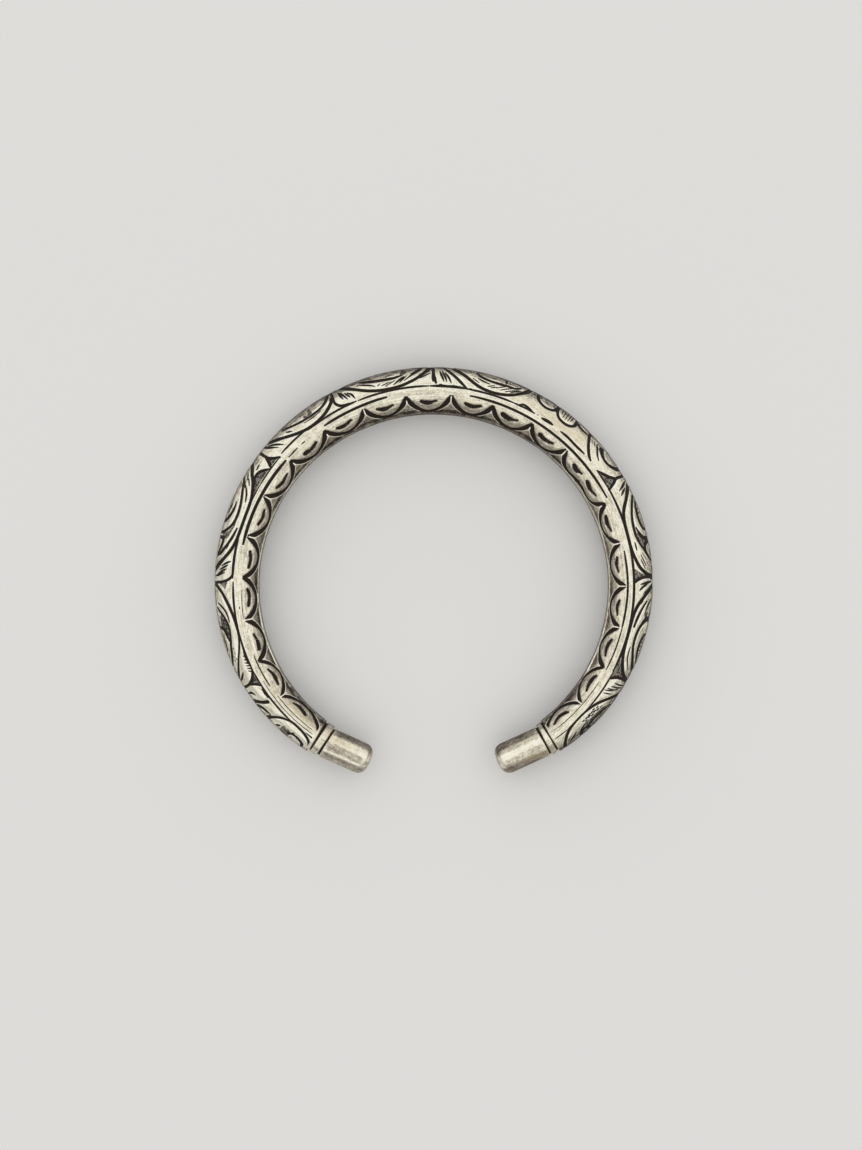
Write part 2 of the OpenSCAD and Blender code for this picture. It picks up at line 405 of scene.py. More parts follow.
# Each line: half width and depth in millimetres, and its angles and places
LINES = [
    (0.04, 0.05, (-139.5, 77), (-125, 77.5)), (0.07, 0.1, (-121, 79), (-111, 79)),
    (0.04, 0.05, (-140.5, 87), (-131, 88), (-119, 87)), (0.04, 0.05, (-99, 78.5), (-95, 77.5), (-91, 76)),
    (0.19, 0.24, (-77.2, 84), (-63, 83.5), (-49.7, 82)), (0.1, 0.14, (-48, 82), (-44.6, 82)),
    (0.08, 0.1, (-42.6, 82), (-41.7, 82)), (0.16, 0.22, (-33.9, 82.5), (-24, 83), (-14.1, 84.5)),
    (0.15, 0.22, (11, 82), (24, 81.5), (37, 81), (50, 81.5), (62.5, 82.5)),
    (0.12, 0.2, (79.5, 80.5), (90, 81.5), (96, 80), (102, 78.5)), (0.08, 0.1, (102, 78.5), (115.5, 77)),
    (0.04, 0.04, (120, 76.5), (140, 76.5)), (0.09, 0.14, (-142.3, 99), (-139, 96)),
    (0.11, 0.2, (-133, 98), (-115, 98)), (0.13, 0.2, (-115, 98), (-88.8, 97.5)),
    (0.16, 0.24, (-87.3, 99.5), (-75, 99.5)), (0.1, 0.2, (-75, 99), (-60, 99)),
    (0.15, 0.2, (-123.6, 101.5), (-121, 101.8)), (0.14, 0.2, (-112.3, 100.5), (-109, 100.5)),
    (0.1, 0.2, (-60, 98.5), (-50, 98.5)), (0.12, 0.22, (-48.6, 101.5), (-38.5, 101.5)),
    (0.13, 0.24, (-38.5, 98), (-29.5, 98), (-22.8, 98.5)), (0.13, 0.24, (-21.9, 98), (-1.6, 98)),
    (0.16, 0.24, (-0.8, 98), (9.5, 98)), (0.13, 0.2, (9.5, 97), (23.1, 97)),
    (0.12, 0.18, (23.7, 97), (26, 97), (28, 98), (30, 97)),
    (0.13, 0.18, (25.4, 100), (26.3, 103.5), (27.2, 103), (28.2, 101), (29.2, 98)),
    (0.19, 0.24, (32.9, 96.5), (34.5, 98), (36, 98)),
    (0.15, 0.22, (39.5, 97), (42, 97.5), (45, 96), (48.3, 97.5)), (0.12, 0.22, (54.7, 96.5), (60, 96.5)),
    (0.15, 0.24, (60, 97), (95, 97), (115, 95.5)), (0.1, 0.2, (115, 96.5), (128.5, 96.5)),
    (0.08, 0.16, (128.5, 95.5), (136, 98)), (0.07, 0.12, (136.5, 99.5), (141.5, 99.5))]
# Each line swells between its ends, where the graver is let in and out
LINE_SWELL = np.array([0.9] + [1.45] * 8 + [0.9])
for width, how_deep, *points in LINES:
    steps = max(2, int(abs(points[-1][0] - points[0][0]) / len(points)))
    chase(curve(points, steps), width * LINE_SWELL, how_deep)
# Small pits and nicks: angle, place, half width
PITS = [
    (-46.4, 82, 0.08), (54, 44, 0.09), (-96.2, 84.5, 0.08), (31.2, 97.6, 0.06), (2, 101.3, 0.13),
    (2.6, 100.3, 0.1), (5.6, 100.8, 0.11), (6.3, 100.3, 0.1), (10.6, 98.6, 0.12), (-56.2, 129, 0.16),
    (-55.4, 131, 0.14), (125.6, 124, 0.12), (126.3, 115, 0.13), (126.8, 121, 0.15), (127.4, 110.5, 0.12),
    (127.7, 117, 0.15), (128.4, 113, 0.14), (128.9, 120, 0.15), (129.4, 111.5, 0.13), (129.8, 115.5, 0.16),
    (130.6, 113, 0.14), (131.2, 119, 0.13), (131.8, 112.5, 0.12), (-110, 128, 0.07), (-109.3, 133, 0.07),
    (-108.6, 127.5, 0.07), (-107.8, 131, 0.06), (-110.4, 135, 0.07), (-107.2, 125.5, 0.06),
    (-106.3, 128, 0.06)]
PIT_DEPTH = 0.12
PIT_REACH = 0.12
for at, where, width in PITS:
    chase([(at - PIT_REACH, where), (at + PIT_REACH, where)], (width, width), PIT_DEPTH)

# The leaves. The outer half is chased freehand with arching leaves that meet over stems, with
# a smaller leaf or two inside each arch, fans of short cuts, and fine hatching for veins.

# Kinds of stroke: half widths along it and depth, in millimetres. Each stroke is then given by
# its kind and its points: angle round the wrist, place round the bar
ARCH, STEM, LEAF, THIN, FAN, VEIN = (
    ((0.32, 0.33, 0.3, 0.27, 0.28, 0.32, 0.33), 0.3),
    ((0.17, 0.21, 0.26, 0.2), 0.26),
    ((0.17, 0.26, 0.28, 0.26, 0.16), 0.26),
    ((0.1, 0.19, 0.19, 0.1), 0.2),
    ((0.1, 0.2, 0.2, 0.09), 0.2),
    ((0.09, 0.14, 0.14, 0.09), 0.17))
STROKES = [
    (((0.28, 0.25, 0.23, 0.2, 0.2, 0.24, 0.28, 0.3), 0.26), (-142.2, 180), (-142.2, 145), (-141.6, 124),
     (-140.5, 111), (-138.4, 101.5), (-135.6, 98), (-133.6, 99), (-131.7, 106), (-130, 119), (-128.9, 136),
     (-128.2, 152), (-128, 180)),
    (((0.28, 0.24, 0.2, 0.17, 0.17, 0.26, 0.3, 0.24, 0.22), 0.3), (-115.9, 180), (-115.2, 163),
     (-113.9, 148), (-112, 133), (-110, 121), (-107.8, 110), (-105, 101.5), (-102, 99.5), (-98.5, 103),
     (-95.5, 111), (-92.5, 124), (-90.6, 139), (-89.4, 155), (-89.1, 180)),
    (ARCH, (-85.7, 180), (-85.2, 160), (-84, 145), (-82.2, 128), (-80, 113), (-77.5, 104), (-74, 99.5),
     (-69, 98.5), (-65, 100.5), (-62.5, 107), (-60, 119), (-58, 137), (-56.4, 153), (-55.7, 180)),
    (ARCH, (-49.6, 180), (-48.8, 158), (-47, 141), (-45, 126), (-42.5, 112.5), (-40, 104), (-37.5, 100),
     (-35, 101), (-32.5, 106), (-30.5, 115), (-29, 127), (-28.6, 135)),
    (ARCH, (-25.6, 180), (-25.2, 160), (-23.7, 145), (-22, 132), (-20, 119.5), (-18, 111), (-15.5, 105),
     (-12.5, 103), (-9.5, 104.5), (-7, 111), (-5, 119), (-3.3, 131), (-1.8, 145), (-1.1, 160), (-1, 180)),
    (ARCH, (4.7, 180), (5.2, 160), (6.6, 147), (8.5, 134), (10.5, 120), (12.7, 109.5), (15, 104.5),
     (17.5, 103.5), (20, 107), (22.3, 115), (24.2, 128), (25.6, 144), (26.2, 160), (26.5, 180)),
    (ARCH, (62, 180), (62.4, 160), (63.6, 145), (65.4, 128), (67.4, 112), (69.5, 102.5), (72.5, 98),
     (77, 97.5), (80, 100), (82.5, 106.5), (84.7, 116), (86.2, 131), (87.1, 148), (87.4, 180)),
    (ARCH, (89.2, 180), (89.7, 160), (90.7, 146), (92.3, 130), (94.3, 115), (96.5, 105), (99.5, 99.5),
     (104, 97.5), (108, 99), (110.5, 104), (112.5, 112), (114.4, 125), (115.6, 141), (116.1, 160),
     (116.2, 180)),
    (((0.26, 0.28, 0.3, 0.26, 0.16), 0.26), (120, 180), (120.5, 155), (121.7, 139), (123.2, 124), (125, 111),
     (127.2, 102), (130, 97)),
    (THIN, (128.5, 98.5), (131.5, 96.5), (135, 99.5)),
    (LEAF, (133, 97.3), (135.5, 101), (137.5, 110), (139.1, 124), (140.2, 142), (140.6, 160), (140.7, 180)),
    (LEAF, (28.6, 180), (28.8, 152), (29.3, 138), (30.4, 130.5), (31.8, 127), (33.2, 129), (34.4, 136),
     (34.8, 150), (34.9, 180)),
    (LEAF, (35, 180), (35.1, 146), (35.6, 132), (36.6, 123), (38.1, 120), (39.6, 121.5), (40.7, 128),
     (41.2, 138), (41, 152), (40.9, 180)),
    (LEAF, (41.6, 152), (42.3, 147), (43.5, 144.5), (45.2, 145.5)),
    (LEAF, (45.7, 180), (45.9, 150), (46.5, 136), (47.6, 121), (49, 109), (50.2, 102), (51, 99.5)),
    (THIN, (49.1, 144), (50, 133.5), (51.1, 123), (52.4, 116)),
    (ARCH, (50.9, 148), (51.5, 139.5), (52.3, 134.5), (53.7, 131), (55.2, 133), (56.4, 140.5), (57.3, 152),
     (57.8, 180)),
    (LEAF, (50.5, 150), (50.7, 143), (51.3, 136)),
    (STEM, (-118.1, 180), (-118, 150), (-117.9, 132), (-117.3, 117), (-116.3, 107), (-115, 100)),
    (THIN, (-118, 132), (-118.4, 117), (-119, 107), (-119.8, 100)),
    (((0.18, 0.2, 0.25, 0.18), 0.26), (-88.9, 180), (-88.8, 150), (-88.6, 130), (-88.3, 117), (-87.6, 106),
     (-86.6, 100), (-84.5, 99)),
    (STEM, (-52.5, 180), (-52.4, 150), (-52.3, 132), (-51.9, 118), (-51.1, 108), (-50, 99.5)),
    (LEAF, (-52.4, 130), (-52.9, 114), (-53.8, 100)),
    (STEM, (-28, 180), (-28.1, 150), (-28.2, 132), (-28.3, 118), (-27.7, 108), (-26.5, 102), (-24.8, 99.5)),
    (STEM, (-0.2, 180), (-0.15, 150), (0, 130), (0.35, 117), (0.6, 107)),
    (STEM, (0, 150), (-0.2, 125), (-0.1, 112)),
    (STEM, (59.6, 180), (59.5, 150), (59.3, 130), (60.1, 115), (61, 98)),
    (LEAF, (59.3, 130), (58.4, 118), (57.3, 110), (54.9, 98)),
    (STEM, (87.4, 180), (87.3, 150), (87.4, 125), (88, 108), (88.8, 99)),
    (STEM, (116.3, 180), (116.2, 150), (116.1, 130), (116.4, 113), (117.3, 99.5)),
    (LEAF, (-140.3, 165), (-140.1, 146), (-139.6, 137), (-138, 131), (-136.7, 130), (-135.7, 134),
     (-135.2, 145)),
    (VEIN, (-135.9, 127), (-136.4, 121)), (THIN, (-132, 137), (-131.3, 150)),
    (LEAF, (-127.8, 135), (-126, 139), (-124.6, 147), (-123.9, 160)),
    (ARCH, (-124.7, 112), (-124.1, 125), (-123.2, 141), (-122.5, 155), (-122.3, 175)),
    (THIN, (-121.2, 132), (-120.6, 136), (-120.1, 143), (-119.9, 158)),
    (LEAF, (-111.9, 180), (-111.4, 163), (-110.2, 150), (-108.4, 139.5), (-106.3, 132), (-104.3, 125.5),
     (-102.3, 122), (-100.3, 123), (-98.6, 129.5), (-97.1, 140), (-95.6, 153)),
    (LEAF, (-105.2, 130.5), (-103.7, 134), (-102, 138.5), (-101.2, 145), (-100.8, 157)),
    (THIN, (-107.8, 160), (-106.6, 152), (-105, 150), (-103.3, 151)),
    (THIN, (-99.7, 116.5), (-97.9, 119), (-96.4, 125), (-95.2, 135), (-94.3, 147)),
    (LEAF, (-81.6, 155), (-80.8, 142), (-79.3, 130), (-77.5, 120), (-75.5, 113), (-73.6, 109)),
    (LEAF, (-80.9, 156), (-80, 149), (-78.6, 143.5), (-77.3, 142), (-76.8, 150), (-76.7, 180)),
    (LEAF, (-75.5, 180), (-75.4, 155), (-74.7, 141), (-73.4, 128.5), (-71.8, 121.5), (-69.8, 119),
     (-67.5, 121), (-65.3, 127), (-63.3, 136), (-61.5, 146), (-60.3, 157), (-59.8, 180)),
    (LEAF, (-72.4, 180), (-72.3, 157), (-71.4, 147), (-70, 140.5), (-68.5, 137), (-67, 138)),
    (THIN, (-69.6, 157), (-68.7, 152), (-67.3, 151)), (THIN, (-65.7, 112), (-63.6, 119), (-61.8, 132)),
    (VEIN, (-62.2, 133), (-60.8, 143)), (VEIN, (-61.2, 123), (-59.8, 134)),
    (VEIN, (-60, 137), (-58.6, 150)),
    (LEAF, (-64.2, 101), (-61.5, 111), (-59.6, 119), (-58.2, 122), (-56.8, 119.5), (-55.4, 110),
     (-54.3, 100)),
    (THIN, (-56.2, 129), (-55.3, 131.5)),
    (LEAF, (-44, 150), (-42.7, 143), (-40.8, 134), (-39, 128.5), (-37, 125), (-35, 124), (-33, 125.5),
     (-31.2, 132), (-29.9, 143), (-29.1, 157), (-28.9, 180)),
    (VEIN, (-38.2, 118), (-35.5, 116.5), (-32.8, 119)), (THIN, (-43.6, 132.5), (-42.4, 124)),
    (((0.18, 0.28, 0.32, 0.33, 0.33, 0.3, 0.18), 0.28), (-20.1, 151), (-18.8, 143.5), (-17.2, 138),
     (-15.2, 134), (-13, 131.5), (-10.8, 131.5), (-8.8, 135.5)),
    (THIN, (-20.6, 141), (-19.2, 133), (-17.7, 126.5), (-16.5, 119)),
    (THIN, (-11.1, 111.5), (-9.9, 118.5), (-8.9, 125.5), (-8.2, 129.5)),
    (THIN, (-9.4, 115), (-8.5, 122.5), (-7.5, 130)),
    (((0.1, 0.16, 0.22, 0.28, 0.2), 0.24), (-8, 118), (-6.6, 128), (-5.2, 138), (-3.9, 150), (-3.4, 162)),
    (THIN, (-4.4, 119), (-2.8, 125), (-1.1, 134)),
    (LEAF, (2.8, 157), (4.2, 142), (6, 125), (7.8, 110), (9.4, 98.5)),
    (LEAF, (11.7, 152), (12.6, 142), (14.2, 136), (16.3, 133.5), (18.6, 133.5), (20.8, 135.5), (22.6, 137.5),
     (23.6, 146)),
    (THIN, (12.2, 131.5), (13.6, 126.5), (15.3, 123.5)), (THIN, (19.6, 152), (19.7, 143)),
    (LEAF, (65, 180), (65.3, 160), (66.3, 147), (68, 134.5), (70, 125), (72.2, 119.5), (74.6, 118),
     (76.6, 120), (78.5, 127), (80.2, 137.5), (81.9, 149), (83, 162), (83.3, 180)),
    (LEAF, (66.9, 180), (67.1, 160), (68.2, 150), (69.8, 145), (71.8, 143), (73.4, 146), (74.5, 154),
     (74.9, 180)),
    (LEAF, (77.7, 180), (78, 153), (78.7, 142.5), (80, 140.5), (81, 142)),
    (LEAF, (77.1, 180), (77, 150), (76.4, 138), (75, 129), (73.8, 125)),
    (VEIN, (77.6, 110.5), (79.6, 111.5)), (THIN, (93.2, 157), (94.3, 146), (95.6, 139.5), (97, 136)),
    (STEM, (94, 136), (95.3, 127), (97, 119), (99, 112.5), (101.1, 108.5)),
    (ARCH, (98.5, 180), (98.5, 155), (98.9, 142), (100.2, 131), (101.8, 123.5), (103.8, 120), (106, 120.5),
     (108, 126), (109.9, 135.5), (111.6, 146), (112.8, 160), (113.1, 180)),
    (LEAF, (102.7, 160), (103.1, 151), (104.4, 144), (106, 142), (107.8, 144.5), (109.6, 152), (110.6, 163)),
    (VEIN, (107.2, 113), (109.2, 114.5), (111, 120), (113, 133)),
    (THIN, (123.6, 160), (124, 151), (125.2, 144.5), (127, 140), (129.4, 137.5), (131.8, 140.5)),
    (LEAF, (131.8, 180), (131.9, 150), (132.5, 142), (133.5, 139.5), (134.5, 144), (135, 158), (135.1, 180)),
    (THIN, (130.8, 124.5), (132.6, 126.5), (134.2, 133.5), (135.2, 146)),
    (THIN, (135.3, 126), (136.9, 134), (138.5, 144)),
    (FAN, (-115.9, 160), (-115.6, 145), (-114.7, 132), (-114.3, 128)),
    (FAN, (-87, 152), (-86.6, 138), (-86.1, 122)), (FAN, (-86.4, 142), (-85.7, 129), (-85.1, 118)),
    (THIN, (-85.3, 136), (-84.6, 124), (-84, 114.5)), (THIN, (-84.2, 130), (-83.4, 118), (-82.9, 108.5)),
    (FAN, (-50.6, 165), (-50.3, 152), (-49.5, 136), (-48.2, 119)),
    (FAN, (-49.4, 147), (-48, 130), (-46.6, 113.5)), (FAN, (-26.3, 142), (-26.1, 130), (-25.8, 118)),
    (FAN, (-25.9, 140), (-25.3, 127), (-24.7, 113)), (FAN, (-24.7, 131), (-24.2, 122), (-23.8, 115)),
    (FAN, (-24, 128.5), (-23.1, 119), (-22.7, 107)), (FAN, (1.7, 140), (2.2, 126), (2.8, 111)),
    (FAN, (2.4, 140), (3.1, 124), (3.6, 111)), (FAN, (3.2, 135), (4.1, 122), (4.9, 108)),
    (FAN, (61.2, 152), (61.9, 136), (62.6, 120)), (FAN, (62.7, 138), (63.4, 127), (64, 119)),
    (FAN, (88.6, 150), (88.9, 132), (89.3, 115)), (FAN, (89, 138), (89.7, 127), (90.1, 119)),
    (FAN, (89.4, 128), (90.2, 119), (91, 112)), (VEIN, (117.6, 150), (117.9, 135), (118, 118)),
    (VEIN, (118.4, 146), (118.9, 130), (119.2, 114)), (VEIN, (119.2, 138), (119.9, 124), (120.2, 108))]
for (widths, how_deep), *points in STROKES:
    chase(curve(points), widths, how_deep)
# Short veins, and the row of teeth on the rail's edge: from angle, place, to angle, place
VEINS = [
    (-14.4, 115, -12.4, 120), (-13.3, 112.5, -10.8, 121), (-15.5, 118, -15, 121), (15.2, 115, 16.7, 122),
    (16.1, 113.5, 17.5, 119.5), (17.7, 118, 20.6, 135), (18.8, 115.5, 22, 134), (20.2, 115.5, 23.3, 133),
    (21.7, 119, 24, 135), (80.8, 125, 82.8, 138), (81.3, 121, 84.2, 133), (82.6, 119.5, 84.9, 129),
    (83.2, 137, 84.6, 146), (120.3, 122, 121, 103), (121.2, 126, 121.9, 105), (36.3, 165, 36.6, 138),
    (37.2, 165, 37.3, 131), (38.1, 165, 38.1, 130), (39, 165, 38.9, 132), (39.7, 165, 39.6, 137),
    (-115, 100, -114.5, 108), (-114.1, 100, -113.7, 107.5), (-113.2, 100, -112.9, 107),
    (-112.4, 100, -112, 107), (-111.4, 100, -111.1, 106), (-110.4, 100, -110, 105), (48, 146, 48.7, 134),
    (48.9, 146, 49.4, 136), (-70.2, 158, -69.8, 150), (-69.2, 158, -68.9, 150), (-68.3, 158, -68, 151),
    (-5.6, 141, -4.4, 150), (-6.4, 136, -4.8, 143), (10.8, 128, 12.4, 120), (7.4, 143, 9, 134),
    (90.4, 137, 91.4, 128), (91, 131, 92, 123), (93, 127, 94.6, 118), (68.8, 157, 69.2, 152),
    (70, 157, 70.3, 151), (104.8, 155, 105, 149), (106, 155, 106.2, 148.5), (107.2, 156, 107.2, 150),
    (-101.7, 136, -100.8, 128), (-100.8, 139, -99.8, 130), (-99.8, 141, -98.8, 132),
    (-77.6, 117, -75.5, 113.5), (-79.5, 123.5, -77.8, 118.5)]
VEIN_WIDTHS = np.array([0.08, 0.12, 0.12, 0.08])
VEIN_DEPTH = 0.15
for at, where, to_at, to_where in VEINS:
    fine = 0.65 if max(where, to_where) > 135 else 1
    chase(curve([(at, where), (to_at, to_where)]), VEIN_WIDTHS * fine, VEIN_DEPTH)

# The grounds. Between the leaves the silver is beaten down with a pointed punch, so that the
# hollows are rough and hold the dark of age. Each is given by the points of its outline.
GROUNDS = [
    [(-135.7, 165), (-135.6, 145), (-135.2, 127), (-134.5, 124), (-133.9, 128), (-133.2, 124), (-132.4, 131),
     (-132.6, 145), (-133, 165)],
    [(-119.6, 100), (-118.7, 118), (-118.2, 134), (-117.4, 118), (-115.1, 100)],
    [(-104, 126), (-101.5, 122), (-99, 127), (-97.8, 134), (-96.8, 143), (-100.5, 150), (-101.5, 140),
     (-103, 133)],
    [(-90.9, 119), (-90.1, 125), (-89.2, 137), (-88.8, 145), (-88.7, 122), (-88.5, 112)],
    [(-77, 130), (-76.9, 150), (-75.6, 152), (-75, 132), (-73.2, 122), (-70.5, 118), (-73, 116), (-76, 125)],
    [(-64.5, 101), (-61, 112), (-59, 120), (-57.5, 122), (-56, 117), (-54.3, 101)],
    [(-53.8, 101), (-52.8, 113), (-52.3, 124), (-51.6, 113), (-50, 101)],
    [(-37.8, 127), (-37.5, 140), (-36.8, 133), (-36, 135), (-35.8, 150), (-34.9, 150), (-35, 125)],
    [(-9.3, 133), (-9, 147), (-8.1, 160), (-7.5, 150), (-7.2, 140)],
    [(26, 98.5), (27, 102.5), (28.3, 101), (29, 98.3), (27.5, 97.8)],
    [(54.9, 98), (57.5, 110), (59.2, 127), (59.7, 122), (60.8, 98)],
    [(75, 127), (77, 142), (77.2, 165), (77.7, 165), (78.2, 145), (79, 135), (79.4, 128), (77.5, 121),
     (75.5, 119)],
    [(84.6, 98), (85.5, 108), (86.3, 118), (86.9, 134), (87.3, 142), (87.4, 120), (88.6, 99)],
    [(96, 135), (97.2, 145), (98.4, 150), (98.5, 138), (97.5, 132)],
    [(110.5, 98), (112, 104), (115, 128), (116, 135), (116.2, 112), (117.3, 98)],
    [(124.6, 138), (126.5, 141), (129.5, 138), (131.8, 141), (132.5, 134), (131.5, 124), (128.5, 124),
     (125.5, 128)],
    [(130.5, 146), (132, 147), (132.3, 132), (130.7, 133)]]
# Millimetres inside the nearest ground's edge, less than 0 outside
ground = np.full(len(co), -NO_CUT)
for outline in GROUNDS:
    outline = np.array(outline + outline[:1], float)
    who = close_to(outline)
    inside = np.zeros(len(who), bool)
    for start, stop in zip(outline, outline[1:]):
        spans = (start[1] > phi[who]) != (stop[1] > phi[who])
        climb = stop[1] - start[1] or 1
        meets = start[0] + (phi[who] - start[1]) * (stop[0] - start[0]) / climb
        inside ^= spans & (theta[who] < meets)
    edge_gap = measure(outline, who)[0].min(0)
    ground[who] = np.maximum(ground[who], np.where(inside, edge_gap, -edge_gap))

# The grooves on both sides of each collar are filed round. Their form is in the necks, and here
# they are only marked as cuts, because they too are dark to the bottom.

# Each: side, degrees past the chasing's end, and half widths on the wrist side, on top and outside
GROOVES = [(-1, 0.44, 0.2, 0.13, 0.12), (-1, 2.82, 0.15, 0.16, 0.2), (1, 0.44, 0.2, 0.09, 0.17),
           (1, 2.82, 0.25, 0.13, 0.14)]
for end, middle, wrist, top, outside in GROOVES:
    gap = (ring_t[row] - BAR_END - middle) * math.radians(1) * bar_centre(BAR_END) / MM
    who = (side == end) & ~on_rod & (np.abs(gap) < 0.5)
    width = np.interp(phi, [30, 90, 150], [wrist, top, outside])
    off[:, who], half[:, who], depth[:, who] = gap[who], width[who], MAIN_CUT
    near[:, who] = np.abs(gap[who]) - width[who]

# The relief. All these depths go into the bar at once: cuts, sunk corners and grounds are
# driven in, and the silver swells softly between the cuts.

# Depths in millimetres: beside the cuts, of the corners and grounds, and of the roughness there
PILLOW = 0.09
CORNER_DEPTH = 0.33
GROUND_DEPTH = 0.14
ROUGH = 0.05
rng = np.random.default_rng(7)
relief = (depth * (1 - smooth(near, -0.16, 0.05))).max(0)
nearest = near.argmin(0), np.arange(len(co))
gap, deep = near[nearest], depth[nearest]
relief = np.maximum(relief, CORNER_DEPTH * corner)
in_ground = on_bar * smooth(ground, -0.02, 0.14)
relief = np.maximum(relief, GROUND_DEPTH * in_ground)
relief += ROUGH * rng.random(len(co)) * np.maximum(in_ground, 0.5 * corner)
pillow = PILLOW * np.exp(-np.maximum(gap, 0) / 0.35) * (gap < REACH) * smooth(deep, 0.14, 0.3)
relief += pillow * (1 - smooth(-gap, -0.02, 0.1))
# Wear has left less of it along the outer edge
relief *= on_bar * (1 - 0.7 * smooth(phi, 132, 168))

# The points are moved in along their normals, each by its share of this depth
DEEPEST = 0.5 * MM
amount = relief * MM / DEEPEST
chased = kada.vertex_groups.new(name="chased")
for index in np.flatnonzero(amount > 0.002):
    chased.add([int(index)], float(min(1, amount[index])), "REPLACE")
modifier = kada.modifiers.new("chased", "DISPLACE")
modifier.direction = "NORMAL"
modifier.mid_level = 0
modifier.strength = -DEEPEST
modifier.vertex_group = "chased"
bpy.ops.object.modifier_apply(modifier="chased")
kada.vertex_groups.remove(kada.vertex_groups["chased"])

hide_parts("kada")
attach(kada, "root")

# The silver's finish. Old silver alloy, polished by hand and by wear: the rail, the petals' crowns and the
# leaves shine, the flanks and hollows keep a warm grey tarnish, with painted shade added on the flanks and
# painted highlights on edges and terminals, and every cut is filled with dark oxide.

# Tarnish and painted shade, from 0, bright, to 1: by place on the bar, where the flanks that face away from
# the light are darkened as painted shade; by millimetres from the rim on the wrist side of it, with a
# painted highlight just below the rim and painted shade further down; and by place on the left end and on
# the right end, where the bands on the terminals are painted highlights and painted shade
AGE_AND_SHADE = [(20, 0.55), (30, 0.58), (40, 0.46), (50, 0.36), (62, 0.22), (72, 0.15), (80, 0.14), (95, 0.12),
       (112, 0.08), (130, 0.1), (146, 0.3), (158, 0.66), (170, 0.8), (180, 0.85)]
RIM_AGE_AND_LIGHT = [(-1.8, 0.9), (-0.9, 0.7), (-0.5, 0.42), (-0.3, 0.2), (-0.05, 0.2), (0, 0.4)]
LEFT_AGE_AND_LIGHT = [(0, 0.85), (32, 0.66), (42, 0.5), (50, 0.24), (58, 0.1), (74, 0.06), (82, 0.4), (103, 0.42),
            (108, 0), (114, 0), (121, 0.4), (150, 0.46), (165, 0.6), (180, 0.9)]
RIGHT_AGE_AND_LIGHT = [(0, 0.9), (30, 0.78), (44, 0.58), (52, 0.4), (62, 0.22), (68, -0.02), (84, 0), (92, 0.28),
             (112, 0.34), (128, 0.56), (150, 0.66), (180, 0.9)]
age = np.where(rim_mm < 0, read_off(RIM_AGE_AND_LIGHT, rim_mm), read_off(AGE_AND_SHADE, phi))
for end, table in ((-1, LEFT_AGE_AND_LIGHT), (1, RIGHT_AGE_AND_LIGHT)):
    age = np.where(~on_bar & (side == end), read_off(table, phi), age)
# The collars are brighter than the terminals, whose round faces are one dull tone all over
COLLAR_SHARE = 0.6
FACE_TONE = 0.42
age = np.where(on_bar | on_rod, age, COLLAR_SHARE * age)
tip_face = ~on_bar * smooth(ring_r[row] / TERMINAL_R, 0.9, 0.55)
age += tip_face * (FACE_TONE - age)
# Places with more or less than that: angle, place, how far it spreads each way, how much. The two on the
# terminals' tips are painted highlights
SPOTS_AND_GLINTS = [(-134, 56, 6, 11, 0.24), (136, 108, 5, 16, 0.16), (158.7, 105, 0.6, 20, -0.5),
         (-158.3, 84, 0.9, 22, -0.35), (27.5, 140, 2.2, 16, 0.22)]
# Where a warm brown film lies
FILM = [(38, 110, 9, 15, 1), (44, 132, 3, 9, 0.7), (-134, 66, 8, 14, 0.9), (-37, 72, 5, 9, 0.5),
        (86, 67, 5, 7, 0.4), (118, 78, 4, 6, 0.4), (-121, 82, 5, 9, 0.5), (-149, 62, 6, 14, 0.9),
        (148, 125, 6, 14, 1), (22, 112, 4, 8, 0.4)]


def patches(rows):
    """The sum of soft patches, each strongest in its middle."""
    return sum(strength * np.exp(-((theta - at) / wide) ** 2 - ((phi - where) / high) ** 2)
               for at, where, wide, high, strength in rows)


age += patches(SPOTS_AND_GLINTS)
# Painted shade and light: the outer flank is darker at the right end and at the back, and lighter on the
# left. The rim is dull at the back and near both ends
at_back = on_bar * smooth(np.abs(theta), 60, 25)
age += on_bar * 0.35 * smooth(theta, 98, 125) * smooth(phi, 118, 145)
age += on_bar * 0.2 * smooth(theta, 122, 134) * smooth(phi, 122, 136)
age -= on_bar * 0.1 * smooth(theta, -45, -70) * smooth(phi, 104, 114)
dull_rim = on_bar * np.maximum(at_back, smooth(np.abs(theta), 114, 128)) * smooth(phi, 34, 26)
age += at_back * 0.26 * smooth(phi, 122, 145) + 0.6 * dull_rim
# The outermost line, which rubs on everything, is bright again
age -= 0.45 * on_bar * smooth(phi, 163, 177)
# The sunk corners are darker at the back too, while those on the right side stay lighter
corner_age = 0.5 + 0.06 * at_back - 0.17 * smooth(theta, 42, 58) * smooth(theta, 132, 122)
# Painted highlight beside the cuts on the leaves, and painted shade beside those on the petals
cut_edge_light_and_shade = np.interp(phi, [66, 95], [0.1, -0.24])
# Fine hatching shows on the outer flank, and less along its worn outermost line
on_flank = on_bar * smooth(phi, 122, 142) * (1 - 0.6 * smooth(phi, 155, 172))


def note(name, *values):
    """Store one value or three for each point, for the material to read."""
    kind, field = ("FLOAT", "value") if len(values) == 1 else ("FLOAT_VECTOR", "vector")
    data = kada.data.attributes.new(name, kind, "POINT").data
    data.foreach_set(field, np.stack(values, 1).astype(np.float32).ravel())


# Lines thinner than the mesh are drawn from the signed distance, and this margin lets them show
# where no point meets their middle
margin = np.where(lower_side, 0.13, 0.09)
# The clouds of tarnish are another stretch of the same noise underneath
UNDERNEATH = 9.0
